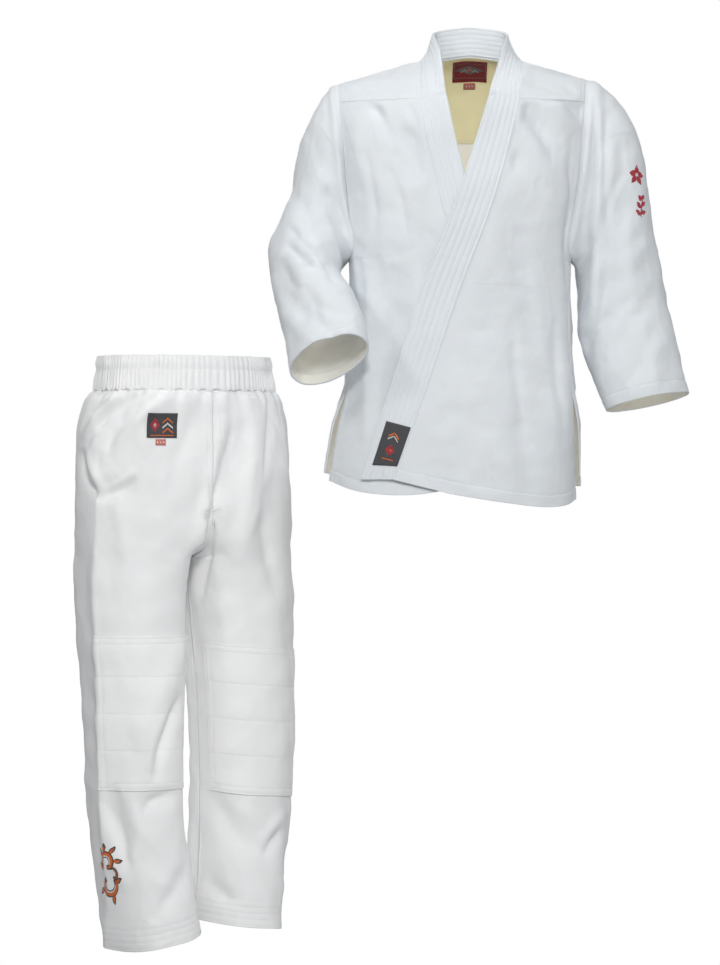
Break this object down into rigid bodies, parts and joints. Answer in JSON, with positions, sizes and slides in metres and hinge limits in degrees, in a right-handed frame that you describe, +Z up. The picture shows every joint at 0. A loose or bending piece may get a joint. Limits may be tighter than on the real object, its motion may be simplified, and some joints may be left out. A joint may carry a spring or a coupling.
{
  "type": "jiu-jitsu gi",
  "caption": "White cotton martial-arts uniform filled out as if worn: a wrap-over jacket with a stitched lapel band, and elastic-waist trousers with knee patches.",
  "frame": {"origin": "middle of the jacket's neck opening at shoulder height, where the wearer's shoulders carry it", "axes": "+Z up, the jacket's front faces -Y, +X is the wearer's left"},
  "size_m": [1.0121, 0.3608, 1.5131],
  "materials": {
    "cotton": "matte woven cotton",
    "yoke_cotton": "matte woven cotton, doubled",
    "band_cotton": "matte ribbed cotton, stitched in rows",
    "label_grey": "woven label",
    "label_red": "woven label",
    "tag_red": "woven size tag"
  },
  "bodies": {
    "root": {"back_panel": "cotton", "shoulder_yoke": "yoke_cotton", "right_front": "cotton", "left_front": "cotton", "right_sleeve": "cotton", "left_sleeve": "cotton", "lapel_band": "band_cotton", "neck_label": "label_red", "neck_size_tag": "tag_red", "lapel_label": "label_grey", "right_leg": "cotton", "left_leg": "cotton", "gusset": "cotton", "waistband": "band_cotton", "right_knee_patch": "cotton", "left_knee_patch": "cotton", "waist_label": "label_grey", "waist_size_tag": "tag_red"}
  },
  "joints": []
}
